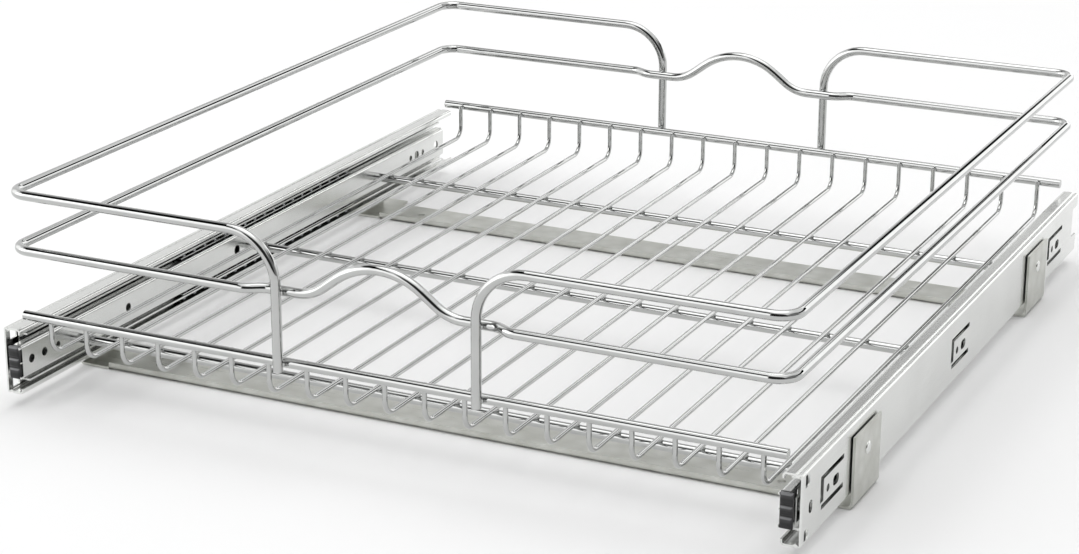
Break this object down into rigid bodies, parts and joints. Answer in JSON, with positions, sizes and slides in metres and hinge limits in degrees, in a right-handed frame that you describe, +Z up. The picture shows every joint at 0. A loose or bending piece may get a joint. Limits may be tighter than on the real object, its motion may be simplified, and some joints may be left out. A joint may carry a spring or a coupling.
{
  "type": "pull out cabinet basket",
  "caption": "Wire pull-out basket with raised side rails, carried by full-extension ball bearing slides on two floor-mounted cross members.",
  "frame": {"origin": "on the cabinet floor, midway between the slides and midway along them, basket pushed in", "axes": "+X to the right seen from the front, +Y to the rear of the cabinet, +Z up; the basket opens along -Y"},
  "size_m": [0.517, 0.5636, 0.1385],
  "materials": {
    "zinc_steel": "bright zinc plate",
    "galvanised_strip": "dull zinc plate",
    "chrome_wire": "polished chrome plate",
    "ball_steel": "polished hardened steel",
    "black_plastic": "moulded, satin"
  },
  "bodies": {
    "cabinet_frame": {"front_cross_member": "galvanised_strip", "rear_cross_member": "galvanised_strip", "cross_member_rivets": "zinc_steel", "left_outer_rail": "zinc_steel", "right_outer_rail": "zinc_steel"},
    "basket": {"left_drawer_rail": "zinc_steel", "right_drawer_rail": "zinc_steel", "left_front_bumper": "black_plastic", "right_front_bumper": "black_plastic", "front_top_rod": "chrome_wire", "rear_top_rod": "chrome_wire", "front_bottom_rod": "chrome_wire", "middle_bottom_rod": "chrome_wire", "rear_bottom_rod": "chrome_wire", "left_upper_rail": "chrome_wire", "right_upper_rail": "chrome_wire", "lower_rail": "chrome_wire", "floor_wire_01": "chrome_wire", "floor_wire_02": "chrome_wire", "floor_wire_03": "chrome_wire", "floor_wire_04": "chrome_wire", "floor_wire_05": "chrome_wire", "floor_wire_06": "chrome_wire", "floor_wire_07": "chrome_wire", "floor_wire_08": "chrome_wire", "floor_wire_09": "chrome_wire", "floor_wire_10": "chrome_wire", "floor_wire_11": "chrome_wire", "floor_wire_12": "chrome_wire", "floor_wire_13": "chrome_wire", "floor_wire_14": "chrome_wire", "floor_wire_15": "chrome_wire", "floor_wire_16": "chrome_wire", "floor_wire_17": "chrome_wire", "floor_wire_18": "chrome_wire", "floor_wire_19": "chrome_wire"},
    "left_intermediate": {"left_intermediate_rail": "zinc_steel"},
    "left_outer_bearing": {"left_outer_ball_cage": "zinc_steel", "left_outer_balls": "ball_steel"},
    "left_inner_bearing": {"left_inner_ball_cage": "zinc_steel", "left_inner_balls": "ball_steel"},
    "right_intermediate": {"right_intermediate_rail": "zinc_steel"},
    "right_outer_bearing": {"right_outer_ball_cage": "zinc_steel", "right_outer_balls": "ball_steel"},
    "right_inner_bearing": {"right_inner_ball_cage": "zinc_steel", "right_inner_balls": "ball_steel"}
  },
  "joints": [
    {"name": "basket_slide", "type": "slide", "parent": "cabinet_frame", "child": "basket", "axis": [0, -1, 0], "range_m": [0, 0.5588]},
    {"name": "left_intermediate_slide", "type": "slide", "parent": "cabinet_frame", "child": "left_intermediate", "axis": [0, -1, 0], "range_m": [0, 0.2794]},
    {"name": "left_outer_bearing_slide", "type": "slide", "parent": "cabinet_frame", "child": "left_outer_bearing", "axis": [0, -1, 0], "range_m": [0, 0.1397]},
    {"name": "left_inner_bearing_slide", "type": "slide", "parent": "cabinet_frame", "child": "left_inner_bearing", "axis": [0, -1, 0], "range_m": [0, 0.4191]},
    {"name": "right_intermediate_slide", "type": "slide", "parent": "cabinet_frame", "child": "right_intermediate", "axis": [0, -1, 0], "range_m": [0, 0.2794]},
    {"name": "right_outer_bearing_slide", "type": "slide", "parent": "cabinet_frame", "child": "right_outer_bearing", "axis": [0, -1, 0], "range_m": [0, 0.1397]},
    {"name": "right_inner_bearing_slide", "type": "slide", "parent": "cabinet_frame", "child": "right_inner_bearing", "axis": [0, -1, 0], "range_m": [0, 0.4191]}
  ],
  "couplings": [
    {"joint": "left_intermediate_slide", "follows": "basket_slide", "ratio": 0.5},
    {"joint": "left_outer_bearing_slide", "follows": "basket_slide", "ratio": 0.25},
    {"joint": "left_inner_bearing_slide", "follows": "basket_slide", "ratio": 0.75},
    {"joint": "right_intermediate_slide", "follows": "basket_slide", "ratio": 0.5},
    {"joint": "right_outer_bearing_slide", "follows": "basket_slide", "ratio": 0.25},
    {"joint": "right_inner_bearing_slide", "follows": "basket_slide", "ratio": 0.75}
  ]
}
